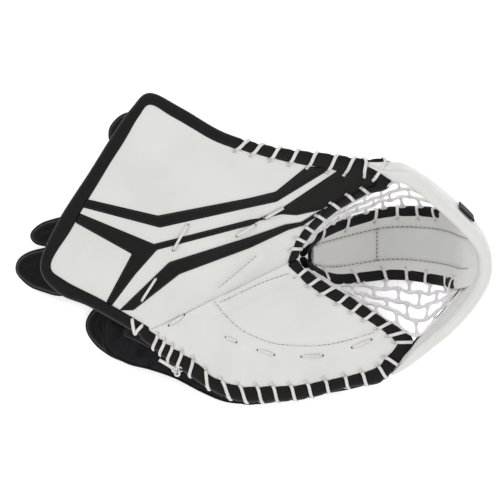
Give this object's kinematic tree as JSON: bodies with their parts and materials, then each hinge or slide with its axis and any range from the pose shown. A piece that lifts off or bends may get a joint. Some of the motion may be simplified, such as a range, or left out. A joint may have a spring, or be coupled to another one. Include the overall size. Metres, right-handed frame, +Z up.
{
  "type": "ice hockey goalie catch glove",
  "caption": "Ice hockey goalie catch glove with laced palm, cuff and thumb panels, a netted T pocket, and padded backhand; folds along its palm crease.",
  "frame": {"origin": "middle of the base of the bounding box, on the plane the glove lies on", "axes": "+Z up out of the palm, +X from the cuff towards the pocket, +Y towards the thumb edge"},
  "size_m": [0.4785, 0.3143, 0.1691],
  "materials": {
    "white_leather": "smooth synthetic leather, soft sheen",
    "black_leather": "smooth synthetic leather, satin",
    "lace": "rawhide-like lace, matte",
    "web_cord": "braided cord, matte",
    "foam": "closed-cell foam, matte",
    "stiffener": "moulded sheet, matte",
    "webbing": "woven nylon webbing, matte",
    "guard_shell": "moulded plastic plate, matte",
    "black_lining": "brushed nylon lining, matte",
    "black_nylon": "woven nylon over foam, matte"
  },
  "bodies": {
    "hand_side": {"backhand_base": "black_nylon", "backhand_finger_pad": "black_nylon", "backhand_knuckle_pad": "black_nylon", "backhand_wrist_pad": "black_nylon", "crossbar_finger_half": "white_leather", "crossbar_lining_finger": "black_lining", "finger_divider": "black_lining", "finger_edge_lace": "lace", "hand_shell": "black_lining", "palm_binding": "black_leather", "palm_edge_lace": "lace", "palm_face": "white_leather", "palm_foam": "foam", "palm_lining": "black_lining", "palm_stiffener": "stiffener", "wrist_strap": "webbing"},
    "thumb_side": {"crossbar_lining_thumb": "black_lining", "crossbar_tab": "webbing", "crossbar_thumb_half": "white_leather", "cuff_bolster": "black_nylon", "lower_stripe": "black_leather", "middle_stripe": "black_leather", "thumb_back_guard": "guard_shell", "thumb_binding": "black_leather", "thumb_face": "white_leather", "thumb_foam": "foam", "thumb_inner_lace": "lace", "thumb_lining": "black_lining", "thumb_stall": "black_lining", "thumb_stiffener": "stiffener", "thumb_top_lace": "lace", "upper_stripe": "black_leather"},
    "pocket": {"finger_web": "web_cord", "stem_backing": "black_lining", "stem_binding_finger": "black_leather", "stem_binding_thumb": "black_leather", "stem_face": "white_leather", "stem_lace_finger": "lace", "stem_lace_thumb": "lace", "thumb_web": "web_cord"},
    "strap_tab": {"strap_tab": "webbing"},
    "wrist_guard": {"wrist_guard_high": "black_nylon", "wrist_guard_low": "black_nylon"}
  },
  "joints": [
    {"name": "pocket_fold", "type": "hinge", "parent": "hand_side", "child": "pocket", "pos_m": [-0.0962, -0.0767, 0.088], "axis": [0.9384, 0.3423, 0.0485], "range_deg": [0, 35], "deforming": ["finger_web"]},
    {"name": "thumb_fold", "type": "hinge", "parent": "pocket", "child": "thumb_side", "pos_m": [-0.0962, -0.0767, 0.088], "axis": [0.9384, 0.3423, 0.0485], "range_deg": [0, 35], "deforming": ["thumb_web", "crossbar_thumb_half", "crossbar_lining_thumb", "crossbar_tab"]},
    {"name": "wrist_guard_flex", "type": "hinge", "parent": "hand_side", "child": "wrist_guard", "pos_m": [-0.1482, 0.0033, 0.024], "axis": [0, 1, 0], "range_deg": [0, 30]},
    {"name": "strap_tab_lift", "type": "hinge", "parent": "hand_side", "child": "strap_tab", "pos_m": [-0.0882, 0.0053, 0.066], "axis": [1, 0, 0], "range_deg": [0, 80]}
  ],
  "couplings": [
    {"joint": "pocket_fold", "follows": "thumb_fold", "ratio": 1}
  ]
}
